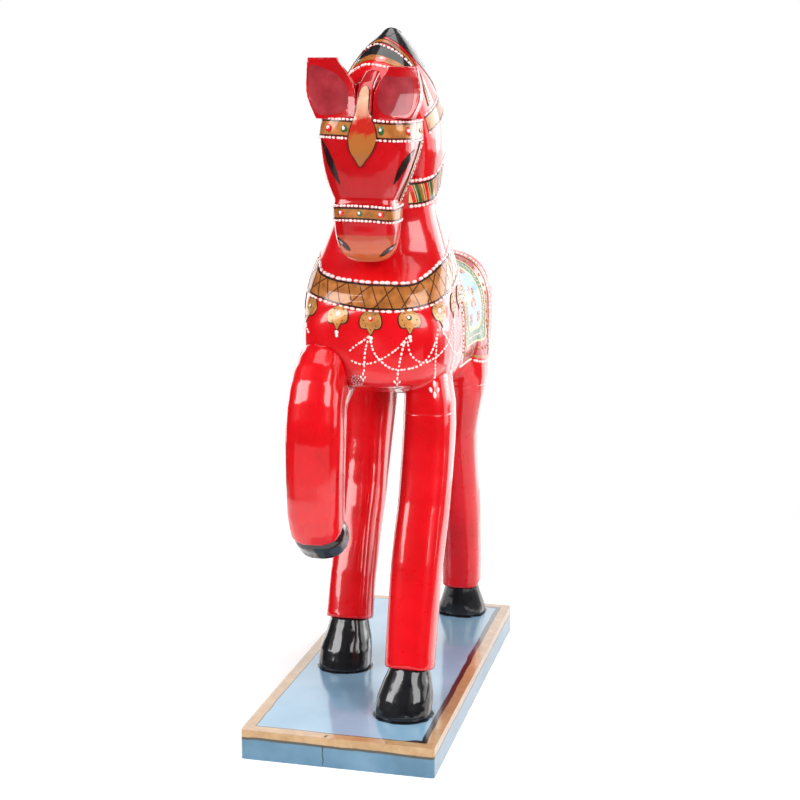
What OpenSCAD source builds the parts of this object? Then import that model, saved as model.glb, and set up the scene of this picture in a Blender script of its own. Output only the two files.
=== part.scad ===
// Carved and painted wooden horse on a plank base, one foreleg raised.
// Millimetres. +Z up, the horse looks towards -Y, its left side is +X.
// The origin is the centre of the base's underside.

/* [Base] */
// Width of the base plank
base_w = 83; // [70:1:120]
// Length of the base plank
base_l = 186; // [180:1:240]
// Thickness of the base plank
base_t = 13; // [10:0.5:20]
// Radius worn onto the plank's corners
base_r = 1.2; // [0.5:0.1:3]

/* [Fixings] */
// Diameter of the glued wooden dowels
dowel_d = 8; // [6:0.5:8]
// Diameter of the small pegs in the ears, tail and raised hoof
peg_d = 4; // [3:0.5:5]
// Diameter of the wood screws that hold the horse to its base
screw_d = 4; // [3:0.5:4.5]
// Length of those screws
screw_l = 40; // [34:1:42]
// Gap left round every dowel, peg and screw for the glue
glue_gap = 0.05; // [0.02:0.01:0.1]

/* [Joint lines] */
// Height of the glue line between the standing legs and the body
leg_seam_z = 138; // [134:0.5:138]
// Height of the neck's glue line on the horse's centre plane
neck_seam_z = 198; // [196:0.5:200]
// Slope of the neck's glue line, lower at the chest
neck_seam_tilt = 14.5; // [12:0.5:17]
// Middle of the dowel that holds the raised leg to the chest
raised_seam_y = -34; // [-36:0.5:-32]

/* [Surface] */
// Sides of each carved section
ring_sides = 44; // [24:4:48]
// Sides of each leg and hoof section
leg_sides = 24; // [16:4:32]
// Sections made from each listed one to the next
ring_steps = 2; // [1:1:3]

/* [Hidden] */

// Places that several parts share
neck_seam_y = 0;
head_seam_y = -19;
head_seam_z = 250;
head_seam_tilt = 16;
throat_z = 238;
ear_seat_z = 264;
ear_seat_back = -21.4;
ear_seat_x = 3.2;
ear_seat_size = 30;
big = 400;

// Carved sections. Each row is
// [x, y, z, tilt, half width, reach to the front, reach to the back, squareness].
// At tilt 0 a section is level and its front is -Y. At tilt 90 it stands across the horse and its front is up.
// A squareness of 2 is an ellipse and higher is squarer.
TORSO = [
    [-1, -41.5, 168, 90, 9, 8, 8, 2.4],
    [-1, -40.6, 168, 90, 18, 14, 14, 2.6],
    [-1, -37.6, 168, 90, 25, 18.4, 17.6, 2.8],
    [-1, -31, 168, 90, 30.4, 22, 18.8, 3],
    [-1, -20, 168, 90, 32.8, 24.4, 21.6, 3],
    [-1, -4, 168, 90, 33.2, 26.4, 26, 3],
    [-1, 16, 168, 90, 32.4, 28, 28.6, 2.9],
    [-0.8, 36, 168, 90, 32, 29, 29.4, 2.9],
    [-0.5, 56, 168, 90, 33, 31, 29.5, 3],
    [-0.4, 70, 168, 90, 34, 33.2, 29.5, 3.3],
    [-0.4, 78, 168, 90, 33.4, 32.6, 29, 3],
    [-0.4, 82.6, 168, 90, 29.6, 28.4, 28, 2.6],
    [-0.4, 85.6, 168.5, 90, 22.4, 21.4, 21, 2.3],
    [-0.4, 87, 169, 90, 11, 11, 11, 2]];

NECK = [
    [-1.4, -8, 168, 0, 33, 31.6, 40, 2.9],
    [-1.4, -8, 180, 0, 33, 31, 42, 2.9],
    [-1.4, -7, 190, 0, 32.4, 29, 42, 2.8],
    [-1.4, -5, 199, 0, 30.8, 23.6, 39, 2.7],
    [-1.5, -3, 207, 0, 28, 19.4, 35, 2.5],
    [-1.5, -1, 216, 0, 24.8, 18.4, 32, 2.4],
    [-1.2, 0, 226, 0, 22.2, 18.6, 30, 2.4],
    [-0.6, -1, 238, 0, 22.6, 21, 30.4, 2.4],
    [-0.2, -3, 250, 0, 24.4, 25, 31.4, 2.3],
    [0, -4, 263, 0, 24.4, 27, 30.4, 2.3],
    [0, -4, 275, 0, 20.6, 27, 27, 2.2],
    [0, -2, 287, 0, 14.8, 19, 21, 2.1],
    [0.4, -1, 296, 0, 8.4, 10.5, 14, 2],
    [0.8, 0, 302.4, 0, 2, 3, 4.5, 2]];

HEAD = [
    [-1, -33, 204.2, 0, 4.5, 3.8, 4.6, 2.2],
    [-1.1, -33, 205.4, 0, 8.4, 6.6, 7.4, 2.4],
    [-1.2, -33.2, 208.6, 0, 11.4, 9.2, 9.4, 2.7],
    [-1.3, -33.6, 214, 0, 13, 10.9, 10.6, 3],
    [-1.3, -33.8, 220, 0, 13.6, 11.4, 11.8, 3.4],
    [-1.3, -34, 229.4, 0, 13.6, 12, 13.6, 3.8],
    [-1.3, -34, 230.4, 0, 13.1, 11, 13.4, 3.8],
    [-1.2, -33, 236, 0, 15.7, 13, 15, 3.8],
    [-0.9, -30, 243, 0, 18.4, 16.8, 18, 4],
    [-0.7, -28, 251, 0, 20, 19.2, 22, 4.2],
    [-0.7, -27, 259, 0, 20.6, 20.2, 24, 4.2],
    [-0.5, -26, 266, 0, 19.8, 20.6, 25, 3.2],
    [0, -24, 273, 0, 15.4, 20.8, 24, 2.5],
    [0, -21, 279, 0, 10.6, 18.4, 20, 2.2],
    [0, -16, 286, 0, 4, 10, 12, 2]];

// Ear sections: [middle x, front y, z, half width, depth, depth of the hollow, how far the inner edge lies back]
EAR = [
    [11.9, -45.6, 264, 8.4, 21.4, 0.6, 1],
    [12.8, -45.8, 268, 9.3, 19.8, 1.6, 2],
    [13.9, -45.6, 273, 10.2, 17.6, 2, 2.4],
    [15, -45.2, 278.4, 9.8, 15, 1.8, 2.4],
    [16.4, -44.6, 283.4, 8.1, 12.2, 1.2, 2],
    [17.9, -44, 287.4, 6.5, 9.6, 0.8, 1.4],
    [18.1, -43.8, 288.9, 6.3, 8.6, 0.7, 1.2]];
// The left ear's top is cut lower and leans in
ear_left_drop = 3.8;
ear_left_lean = 2.2;

FRONT_LEFT = [
    [21.6, -52.4, 31, 14, 10.5, 10.2, 10.2, 3],
    [21.4, -46.5, 48, 17, 10.7, 10.6, 10.6, 3],
    [21.4, -38, 72, 19, 10.9, 11.2, 11.2, 3],
    [22, -27.6, 97, 17, 11, 11.8, 11.8, 3],
    [22.4, -20, 122, 10, 11, 12.8, 13, 3],
    [22, -16, 142, 6, 10.8, 14, 15, 2.8],
    [19, -12, 166, 0, 9, 13, 15, 2.5]];

REAR_LEFT = [
    [18.3, 78, 29, -4, 9.6, 10, 10, 3],
    [18.5, 76.6, 46, -6, 9.7, 10, 10, 3],
    [18.8, 72, 68, -10, 9.7, 10.4, 10.6, 3],
    [18.9, 67, 90, -6, 9.5, 11.6, 12, 3],
    [19.6, 62, 112, -3, 9.4, 14, 14.4, 2.9],
    [21.4, 59, 134, 0, 12, 17, 18, 2.9],
    [21.6, 57, 150, 0, 12.8, 19, 20, 2.8],
    [20, 57, 168, 0, 12.4, 20, 21, 2.5]];

REAR_RIGHT = [
    [-19.6, -0.4, 33, 16, 10.6, 10.2, 10.2, 3],
    [-20, 8, 52, 22, 10.4, 10.2, 10.2, 3],
    [-20.8, 21, 70, 26, 10.3, 10.8, 10.8, 3],
    [-21.6, 34, 88, 20, 10.4, 12, 12.4, 3],
    [-22, 44, 110, 10, 10.8, 14.6, 15, 2.9],
    [-22, 51, 134, 2, 11.8, 17, 18, 2.9],
    [-22, 54, 150, 0, 12.6, 19, 20, 2.8],
    [-20, 56, 168, 0, 12.2, 20, 21, 2.5]];

FRONT_RIGHT = [
    [-20.4, -20, 153, 90, 10.2, 14, 12, 2.7],
    [-20.6, -28, 152.6, 88, 11.2, 17, 14.6, 2.7],
    [-20.8, -36, 150.4, 82, 11.8, 19.4, 15, 2.7],
    [-20.8, -43, 146, 66, 12, 17.6, 14.4, 2.8],
    [-20.6, -48, 138, 38, 12.2, 14.6, 13.4, 2.9],
    [-20.4, -50, 127, 12, 12.2, 12.6, 12.2, 3],
    [-20.5, -50.4, 112, 0, 12, 12, 11.6, 3],
    [-20.6, -49.8, 98.4, -14, 11.9, 11.8, 11.2, 2.9],
    [-20.7, -47.4, 90.4, -38, 11.6, 11.4, 11, 2.7]];

TAIL = [
    [-0.4, 80, 186, 90, 6, 4.6, 5, 2.2],
    [-0.4, 86, 185.4, 104, 6.4, 4, 5, 2.2],
    [-0.4, 89.7, 179.5, 150, 6.6, 2.6, 3.2, 2.2],
    [-0.4, 90.1, 170, 178, 6.6, 2.5, 2.6, 2.2],
    [-0.4, 90.1, 156, 180, 6.6, 2.5, 2.6, 2.2],
    [-0.4, 89.4, 136, 184, 6.4, 2.8, 2.8, 2.2],
    [-0.4, 88.6, 116, 182, 5.8, 2.9, 2.9, 2.2],
    [-0.4, 88.4, 98, 178, 4.8, 2.7, 2.7, 2.2],
    [-0.4, 88.8, 82, 173, 3.1, 2.1, 2.1, 2.1],
    [-0.4, 89.6, 72, 168, 1.2, 1, 1, 2]];

// Middle of each standing hoof on the base
FOOT_FRONT_LEFT = [20.6, -60];
FOOT_REAR_LEFT = [18.1, 80];
FOOT_REAR_RIGHT = [-19.4, -10];
hoof_top = 8.1;
hoof_foot = 12.2;
hoof_swell = 1.1;

// Screws [x, y], under each standing hoof
SCREWS = [[21, -55.4], [18.2, 79], [-19.4, -4.8]];
// Leg dowels [x, y] across the level glue line, and [x, z] of the one across the raised leg's
LEG_DOWELS = [[22, -17], [21.6, 58], [-21.8, 52]];
RAISED_DOWEL = [-20.8, 152];
leg_dowel_l = 30;
neck_dowel_x = 12;
neck_dowel_y = 4;
neck_dowel_l = 36;
head_dowel_l = 28;
ear_peg_x = 12.4;
ear_peg_y = -38;
ear_peg_l = 12;
tail_seat_y = 85.4;
tail_peg_y = 79.4;
tail_peg_z = 185;
tail_peg_l = 18;
hoof_peg_l = 14;

function cubic(p, i, t) = let (
        a = p[max(i - 1, 0)], b = p[i], c = p[i + 1], d = p[min(i + 2, len(p) - 1)])
    0.5 * (2 * b + (c - a) * t + (2 * a - 5 * b + 4 * c - d) * t * t + (3 * b - a - 3 * c + d) * t * t * t);
function refined(p, steps) = [
    for (i = [0 : len(p) - 2]) for (k = [0 : steps - 1]) cubic(p, i, k / steps), p[len(p) - 1]];
function bowed(v, square) = sign(v) * pow(abs(v), 2 / square);
function section(s, sides) = [for (k = [0 : sides - 1]) let (
        a = 360 * k / sides,
        u = s[4] * bowed(cos(a), s[7]),
        v = (sin(a) > 0 ? s[5] : s[6]) * bowed(sin(a), s[7]))
    [s[0] + u, s[1] - v * cos(s[3]), s[2] + v * sin(s[3])]];
// Round the back of an ear and then across its hollow front, side being 1 for the left ear
function ear_section(s, sides, side) = [for (k = [0 : sides - 1]) let (
        a = 360 * k / sides,
        u = a < 180 ? bowed(cos(a), 2.6) : (a - 270) / 90,
        v = a < 180 ? -s[4] * bowed(sin(a), 2.6) : -s[5] * (1 - u * u),
        back = s[6] * (1 - side * u) / 2)
    [side * s[0] + s[3] * u, s[1] - v + back * (a < 180 ? 1 - sin(a) : 1), s[2]]];

// A solid through the given sections. up is true where they run upwards or backwards.
module carved(p, sides, steps, up = true) {
    through([for (s = refined(p, steps)) section(s, sides)], sides, up);
}

module through(rings, sides, up) {
    n = len(rings);
    points = [for (r = rings) for (q = r) q];
    side_faces = [for (i = [0 : n - 2]) for (k = [0 : sides - 1]) let (
            a = i * sides + k, b = i * sides + (k + 1) % sides, c = b + sides, d = a + sides)
        up ? [a, b, c, d] : [d, c, b, a]];
    first = [for (k = [0 : sides - 1]) up ? sides - 1 - k : k];
    last = [for (k = [0 : sides - 1]) (n - 1) * sides + (up ? k : sides - 1 - k)];
    polyhedron(points, concat(side_faces, [first, last]), convexity = 6);
}

module above(x, y, z, tilt) {
    translate([x, y, z]) rotate([tilt, 0, 0]) translate([-big / 2, -big / 2, 0]) cube(big);
}

module below(x, y, z, tilt) {
    translate([x, y, z]) rotate([tilt, 0, 0]) translate([-big / 2, -big / 2, -big]) cube(big);
}

module rod(d, l) {
    cylinder(d = d, h = l, center = true, $fn = 48);
}

// Forms shared by the pieces on both sides of a glue line
module torso_form() { carved(TORSO, ring_sides, ring_steps); }
module neck_form() { carved(NECK, ring_sides, ring_steps); }
module head_form() { carved(HEAD, ring_sides, ring_steps); }
module front_left_form() { carved(FRONT_LEFT, leg_sides, ring_steps); }
module rear_left_form() { carved(REAR_LEFT, leg_sides, ring_steps); }
module rear_right_form() { carved(REAR_RIGHT, leg_sides, ring_steps); }
module front_right_form() { carved(FRONT_RIGHT, leg_sides, ring_steps, false); }

// Where each dowel and peg lies
module at_neck_seam() { translate([0, neck_seam_y, neck_seam_z]) rotate([neck_seam_tilt, 0, 0]) children(); }
module at_head_seam() { translate([0, head_seam_y, head_seam_z]) rotate([90 + head_seam_tilt, 0, 0]) children(); }
module at_leg_seam(p) { translate([p[0], p[1], leg_seam_z]) children(); }
module at_raised_seam() {
    translate([RAISED_DOWEL[0], raised_seam_y, RAISED_DOWEL[1]]) rotate([90, 0, 0]) children();
}
module at_raised_hoof() {
    s = FRONT_RIGHT[len(FRONT_RIGHT) - 1];
    translate([s[0], s[1], s[2]]) rotate([-s[3], 0, 0]) children();
}
module neck_dowel_set(d, l) {
    for (side = [-1, 1]) at_neck_seam() translate([side * neck_dowel_x, neck_dowel_y, 0]) rod(d, l);
}
module leg_dowel_set(d, l) {
    for (p = LEG_DOWELS) at_leg_seam(p) rod(d, l);
    at_raised_seam() rod(d, l);
}
module ear_peg_set(d, l) {
    for (side = [-1, 1]) translate([side * ear_peg_x, ear_peg_y, ear_seat_z]) rod(d, l);
}
module tail_peg_at(d, l) { translate([TAIL[0][0], tail_peg_y, tail_peg_z]) rotate([90, 0, 0]) rod(d, l); }
module screw_holes(d) { for (p = SCREWS) translate([p[0], p[1], 0]) cylinder(d = d, h = screw_l + 2, $fn = 48); }
bore_d = dowel_d + 2 * glue_gap;
peg_bore_d = peg_d + 2 * glue_gap;
screw_bore_d = screw_d + 2 * glue_gap;
head_recess = 0.6;
check_x = -5.8;
check_w = 0.7;

module board_outline() {
    square([base_w - 2 * base_r, base_l], center = true);
    square([base_w, base_l - 2 * base_r], center = true);
    for (x = [-1, 1], y = [-1, 1]) translate([x * (base_w / 2 - base_r), y * (base_l / 2 - base_r)])
        circle(r = base_r, $fn = 24);
}

module base_board() {
    color([0.45, 0.65, 0.79]) difference() {
        linear_extrude(base_t) board_outline();
        for (p = SCREWS) translate([p[0], p[1], 0]) {
            translate([0, 0, -1]) cylinder(d = screw_bore_d, h = base_t + 2, $fn = 48);
            translate([0, 0, -1]) cylinder(d = 2 * screw_d + 0.2, h = head_recess + 1, $fn = 48);
            translate([0, 0, head_recess]) cylinder(d1 = 2 * screw_d + 0.2, d2 = screw_bore_d, h = screw_d / 2, $fn = 48);
        }
        // The crack that drying opened in the front end
        translate([check_x, -base_l / 2, -1]) rotate(45) cube([check_w, check_w, base_t - 2], center = false);
    }
}

module body() {
    color([0.85, 0.05, 0.05]) difference() {
        union() {
            torso_form();
            difference() { neck_form(); above(0, neck_seam_y, neck_seam_z, neck_seam_tilt); }
            difference() {
                union() { front_left_form(); rear_left_form(); rear_right_form(); }
                below(0, 0, leg_seam_z, 0);
            }
        }
        above(0, neck_seam_y, neck_seam_z, neck_seam_tilt);
        neck_dowel_set(bore_d, neck_dowel_l);
        leg_dowel_set(bore_d, leg_dowel_l);
        tail_peg_at(peg_bore_d, tail_peg_l);
        tail_seat();
    }
}

// Space behind the flat face on the rump that the tail is glued to
module tail_seat() { translate([-12, tail_seat_y, tail_peg_z - 9]) cube([24, 20, 20]); }

module behind_head_seam() { below(0, head_seam_y, head_seam_z, 90 + head_seam_tilt); }

module ear_seat(side) {
    half = ear_seat_size / 2;
    translate([side * (ear_seat_x + half), ear_seat_back - half, ear_seat_z + half]) cube(ear_seat_size, center = true);
}

module neck() {
    color([0.85, 0.05, 0.05]) difference() {
        neck_form();
        difference() { head_form(); behind_head_seam(); }
        below(0, neck_seam_y, neck_seam_z, neck_seam_tilt);
        intersection() {
            above(0, head_seam_y, head_seam_z, 90 + head_seam_tilt);
            above(0, 0, throat_z, 0);
        }
        neck_dowel_set(bore_d, neck_dowel_l);
        at_head_seam() rod(bore_d, head_dowel_l);
    }
}

module head() {
    color([0.85, 0.05, 0.05]) difference() {
        head_form();
        behind_head_seam();
        for (side = [-1, 1]) ear_seat(side);
        at_head_seam() rod(bore_d, head_dowel_l);
        ear_peg_set(peg_bore_d, ear_peg_l);
    }
}

module ear(side, drop, lean) {
    low = EAR[0][2];
    tall = EAR[len(EAR) - 1][2] - low;
    shaped = [for (s = EAR) let (t = (s[2] - low) / tall)
        [s[0] - lean * t * t, s[1], s[2] - drop * t, s[3], s[4], s[5], s[6]]];
    color([0.8, 0.05, 0.06]) difference() {
        through([for (s = refined(shaped, ring_steps)) ear_section(s, leg_sides, side)], leg_sides, false);
        ear_peg_set(peg_bore_d, ear_peg_l);
    }
}
module ear_left() { ear(1, ear_left_drop, ear_left_lean); }
module ear_right() { ear(-1, 0, 0); }

module standing_leg() {
    color([0.85, 0.05, 0.05]) difference() {
        children();
        above(0, 0, leg_seam_z, 0);
        leg_dowel_set(bore_d, leg_dowel_l);
        screw_holes(screw_bore_d);
    }
}
module leg_front_left() { standing_leg() front_left_form(); }
module leg_rear_left() { standing_leg() rear_left_form(); }
module leg_rear_right() { standing_leg() rear_right_form(); }
module leg_front_right() {
    color([0.85, 0.05, 0.05]) difference() {
        front_right_form();
        torso_form();
        at_raised_seam() rod(bore_d, leg_dowel_l);
        at_raised_hoof() rod(peg_bore_d, hoof_peg_l);
    }
}

// A hoof from its place on the base up to the first section of its leg, its sides rounded out by swell
module hoof(foot, leg, swell) {
    rise = leg[2] - base_t;
    low = [lerp(foot[0], leg[0], 0.35), lerp(foot[1], leg[1], 0.3), base_t + 0.4 * rise, leg[3] * 0.3];
    high = [lerp(foot[0], leg[0], 0.75), lerp(foot[1], leg[1], 0.72), base_t + 0.74 * rise, leg[3] * 0.7];
    belly = hoof_foot - 1.4 + swell;
    waist = lerp(hoof_foot, hoof_top, 0.74) + swell;
    neck = hoof_top + swell / 2;
    sections = [
        [foot[0], foot[1], base_t, 0, hoof_foot - 0.6, hoof_foot - 1, hoof_foot - 1, 2.3],
        [foot[0], foot[1], base_t + 1.6, 0, hoof_foot, hoof_foot - 0.4, hoof_foot - 0.6, 2.3],
        [low[0], low[1], low[2], low[3], belly, belly, belly - 0.4, 2.3],
        [high[0], high[1], high[2], high[3], waist, waist, waist - 0.2, 2.3],
        [leg[0], leg[1], leg[2], leg[3], neck, neck, neck, 2.3]];
    color([0.03, 0.03, 0.035]) difference() {
        carved(sections, leg_sides, ring_steps);
        screw_holes(screw_bore_d);
    }
}
function lerp(a, b, t) = a + (b - a) * t;
module hoof_front_left() { hoof(FOOT_FRONT_LEFT, FRONT_LEFT[0], hoof_swell); }
module hoof_rear_left() { hoof(FOOT_REAR_LEFT, REAR_LEFT[0], 0); }
module hoof_rear_right() { hoof(FOOT_REAR_RIGHT, REAR_RIGHT[0], hoof_swell); }

// The raised hoof hangs back from the end of its leg
module hoof_front_right() {
    s = FRONT_RIGHT[len(FRONT_RIGHT) - 1];
    rake = s[3] - 4;
    sections = [
        [s[0], s[1], s[2], s[3], hoof_top + 0.8, hoof_top + 0.8, hoof_top + 0.8, 2.3],
        [s[0], s[1] + 2.6, s[2] - 3, s[3], hoof_foot - 0.8, hoof_foot - 1.4, hoof_foot - 1.2, 2.3],
        [s[0], s[1] + 5.4, s[2] - 5.6, rake, hoof_foot - 0.6, hoof_foot - 1.6, hoof_foot - 1.2, 2.3],
        [s[0], s[1] + 8.8, s[2] - 8.4, rake, hoof_foot - 0.6, hoof_foot - 1.6, hoof_foot - 1.2, 2.3],
        [s[0], s[1] + 9.8, s[2] - 9.2, rake, hoof_foot - 1.6, hoof_foot - 2.8, hoof_foot - 2.2, 2.3]];
    color([0.03, 0.03, 0.035]) difference() {
        carved(sections, leg_sides, ring_steps, false);
        at_raised_hoof() rod(peg_bore_d, hoof_peg_l);
    }
}

module tail() {
    color([0.03, 0.03, 0.035]) difference() {
        carved(TAIL, leg_sides, ring_steps);
        translate([-12, tail_seat_y - 20, tail_peg_z - 9]) cube([24, 20, 20]);
        tail_peg_at(peg_bore_d, tail_peg_l);
    }
}

module neck_dowels() { color([0.78, 0.62, 0.42]) neck_dowel_set(dowel_d, neck_dowel_l - 1); }
module head_dowel() { color([0.78, 0.62, 0.42]) at_head_seam() rod(dowel_d, head_dowel_l - 1); }
module leg_dowels() { color([0.78, 0.62, 0.42]) leg_dowel_set(dowel_d, leg_dowel_l - 1); }
module ear_pegs() { color([0.78, 0.62, 0.42]) ear_peg_set(peg_d, ear_peg_l - 1); }
module tail_peg() { color([0.78, 0.62, 0.42]) tail_peg_at(peg_d, tail_peg_l - 1); }
module raised_hoof_peg() { color([0.78, 0.62, 0.42]) at_raised_hoof() rod(peg_d, hoof_peg_l - 1); }

// Countersunk wood screws, heads let into the underside
module base_screws() {
    color([0.7, 0.7, 0.72]) for (p = SCREWS) translate([p[0], p[1], head_recess]) {
        difference() {
            union() {
                cylinder(d1 = 2 * screw_d, d2 = screw_d, h = screw_d / 2, $fn = 48);
                cylinder(d = screw_d, h = screw_l - 4, $fn = 48);
                translate([0, 0, screw_l - 4]) cylinder(d1 = screw_d, d2 = 0.6, h = 4, $fn = 48);
            }
            for (a = [0, 90]) rotate(a) translate([-screw_d / 2, -0.4, -1]) cube([screw_d, 0.8, 2.2]);
        }
    }
}

base_board();
body();
neck();
head();
ear_left();
ear_right();
leg_front_left();
leg_front_right();
leg_rear_left();
leg_rear_right();
hoof_front_left();
hoof_front_right();
hoof_rear_left();
hoof_rear_right();
tail();
neck_dowels();
head_dowel();
leg_dowels();
ear_pegs();
tail_peg();
raised_hoof_peg();
base_screws();
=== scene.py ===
import math

import bmesh
import bpy
import numpy as np
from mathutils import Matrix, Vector
from mathutils.bvhtree import BVHTree


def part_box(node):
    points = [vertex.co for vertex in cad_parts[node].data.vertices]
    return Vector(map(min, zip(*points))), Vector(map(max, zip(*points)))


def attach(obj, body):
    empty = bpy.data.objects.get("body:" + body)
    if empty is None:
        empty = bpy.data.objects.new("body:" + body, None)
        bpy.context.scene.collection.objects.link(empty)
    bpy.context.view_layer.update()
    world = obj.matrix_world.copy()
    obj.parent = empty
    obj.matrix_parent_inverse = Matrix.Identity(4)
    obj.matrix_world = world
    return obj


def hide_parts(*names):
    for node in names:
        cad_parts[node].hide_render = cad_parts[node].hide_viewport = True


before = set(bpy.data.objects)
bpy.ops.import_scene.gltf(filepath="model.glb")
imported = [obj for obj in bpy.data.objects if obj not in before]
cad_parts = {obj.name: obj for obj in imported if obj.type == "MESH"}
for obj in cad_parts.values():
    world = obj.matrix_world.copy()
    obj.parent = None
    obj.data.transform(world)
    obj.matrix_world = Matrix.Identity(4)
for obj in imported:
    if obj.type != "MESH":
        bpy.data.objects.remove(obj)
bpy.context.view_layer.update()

# Painted wooden horse on a plank. Shapes are worked out in millimetres and stored in metres.
MM = 0.001
UP = (0, 0, 1)
RNG = np.random.default_rng(11)
scene = bpy.context.scene


# ---- meshes ----

def make_mesh(name, points, faces):
    mesh = bpy.data.meshes.new(name)
    corners = [tuple(p) for p in np.asarray(points) * MM]
    mesh.from_pydata(corners, [], [tuple(int(i) for i in f) for f in faces])
    mesh.update()
    return mesh


def add_piece(name, mesh, look):
    mesh.name = name
    piece = bpy.data.objects.new(name, mesh)
    scene.collection.objects.link(piece)
    mesh.materials.clear()
    mesh.materials.append(look)
    mesh.polygons.foreach_set("use_smooth", [True] * len(mesh.polygons))
    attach(piece, "root")
    return piece


def coords(mesh):
    co = np.empty(len(mesh.vertices) * 3)
    mesh.vertices.foreach_get("co", co)
    return co.reshape(-1, 3) / MM


def set_coords(mesh, co):
    mesh.vertices.foreach_set("co", (co * MM).ravel())
    mesh.update()


def edges_of(mesh):
    ends = np.empty(len(mesh.edges) * 2, dtype=np.int64)
    mesh.edges.foreach_get("vertices", ends)
    return ends.reshape(-1, 2)


def normals(mesh):
    n = np.empty(len(mesh.vertices) * 3)
    mesh.vertices.foreach_get("normal", n)
    return n.reshape(-1, 3)


PULL, PUSH = 0.5, 0.53


def relax(co, ends, rounds):
    """Smooths without shrinking: each round pulls points together, then pushes them back a little more."""
    n = len(co)
    a, b = ends.T
    degree = np.maximum(np.bincount(ends.ravel(), minlength=n), 1)
    for _ in range(rounds):
        for step in (PULL, -PUSH):
            sums = [np.bincount(a, co[b, k], n) + np.bincount(b, co[a, k], n) for k in range(3)]
            co = co + step * (np.stack(sums, axis=1) / degree[:, None] - co)
    return co


def joined(meshes):
    """One mesh from the meshes of several CAD nodes, to be remeshed as a whole."""
    points, faces, start = [], [], 0
    for mesh in meshes:
        co = coords(mesh)
        points.append(co)
        faces += [[start + i for i in p.vertices] for p in mesh.polygons]
        start += len(co)
    return make_mesh("joined", np.concatenate(points), faces)


def remeshed(mesh, voxel):
    holder = bpy.data.objects.new("remesh", mesh)
    scene.collection.objects.link(holder)
    modifier = holder.modifiers.new("voxels", "REMESH")
    modifier.mode = "VOXEL"
    modifier.voxel_size = voxel * MM
    bpy.context.view_layer.update()
    graph = bpy.context.evaluated_depsgraph_get()
    out = bpy.data.meshes.new_from_object(holder.evaluated_get(graph))
    bpy.data.objects.remove(holder)
    return out


WAVES = 9
PHASES = 6.3  # the waves start anywhere in about a full turn


def waves(co, size, seed):
    """Smooth unevenness of about -1 to 1, some `size` mm long, the same each run."""
    rng = np.random.default_rng(seed)
    total = np.zeros(len(co))
    for _ in range(WAVES):
        direction = rng.normal(size=3)
        direction /= np.linalg.norm(direction)
        turn_per_mm = 2 * math.pi / (size * rng.uniform(0.7, 1.6))
        total += np.sin(co @ direction * turn_per_mm + rng.uniform(0, PHASES))
    return total / (WAVES / 2)


def cut(mesh, point, normal, keep_above):
    """The part of a mesh on one side of a plane, closed with a flat face."""
    out = mesh.copy()
    bm = bmesh.new()
    bm.from_mesh(out)
    cutting = bmesh.ops.bisect_plane(
        bm, geom=bm.verts[:] + bm.edges[:] + bm.faces[:], plane_co=Vector(point) * MM,
        plane_no=Vector(normal), clear_inner=keep_above, clear_outer=not keep_above, dist=1e-7)
    rim = [e for e in cutting["geom_cut"] if isinstance(e, bmesh.types.BMEdge)]
    bmesh.ops.edgeloop_fill(bm, edges=rim)
    bm.to_mesh(out)
    bm.free()
    return out


def islands(mesh):
    """The separate shells of a mesh. Each point takes the lowest number among the points joined to it."""
    ends = edges_of(mesh)
    label = np.arange(len(mesh.vertices))
    settled = False
    while not settled:
        before = label.copy()
        for a, b in (ends.T, ends.T[::-1]):
            np.minimum.at(label, a, label[b])
        label = label[label]
        settled = np.array_equal(label, before)
    co = coords(mesh)
    faces = [tuple(p.vertices) for p in mesh.polygons]
    shells = []
    for lowest in np.unique(label):
        own = np.flatnonzero(label == lowest)
        place = {old: new for new, old in enumerate(own)}
        own_faces = [[place[i] for i in f] for f in faces if label[f[0]] == lowest]
        shells.append(make_mesh("shell", co[own], own_faces))
    return shells


# ---- materials ----

def material(name, base, roughness, metallic=0.0, coat=1.0, coat_roughness=0.06):
    m = bpy.data.materials.new(name)
    m.use_nodes = True
    shader = m.node_tree.nodes["Principled BSDF"]
    shader.inputs["Base Color"].default_value = (*base, 1)
    shader.inputs["Roughness"].default_value = roughness
    shader.inputs["Metallic"].default_value = metallic
    shader.inputs["Coat Weight"].default_value = coat
    shader.inputs["Coat Roughness"].default_value = coat_roughness
    shader.inputs["Specular IOR Level"].default_value = 0.15
    return m, shader


def add_node(beside, kind):
    """A new node in the tree of another node or socket."""
    return beside.id_data.nodes.new(kind)


def plug(value, socket):
    """Sets a socket to a number or a colour, or links it to another socket."""
    if isinstance(value, (int, float)):
        socket.default_value = value
    elif isinstance(value, tuple):
        socket.default_value = (*value, 1)
    else:
        socket.id_data.links.new(value, socket)


def maths(kind, *inputs):
    n = add_node(next(v for v in inputs if not isinstance(v, (int, float))), "ShaderNodeMath")
    n.operation = kind
    for socket, value in zip(n.inputs, inputs):
        plug(value, socket)
    return n.outputs[0]


def spread(value, low, high, to_low=0.0, to_high=1.0):
    """Runs from `to_low` to `to_high` as the value goes from `low` to `high`."""
    n = add_node(value, "ShaderNodeMapRange")
    for name, number in (("From Min", low), ("From Max", high), ("To Min", to_low), ("To Max", to_high)):
        n.inputs[name].default_value = number
    plug(value, n.inputs["Value"])
    return n.outputs["Result"]


def mixed(factor, a, b):
    """Colour `a` where the factor is 0 and colour `b` where it is 1."""
    n = add_node(factor, "ShaderNodeMix")
    n.data_type = "RGBA"
    # The node has sockets for each kind of data. These are the ones for colours.
    for socket, value in ((n.inputs["Factor"], factor), (n.inputs[6], a), (n.inputs[7], b)):
        plug(value, socket)
    return n.outputs[2]


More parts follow.
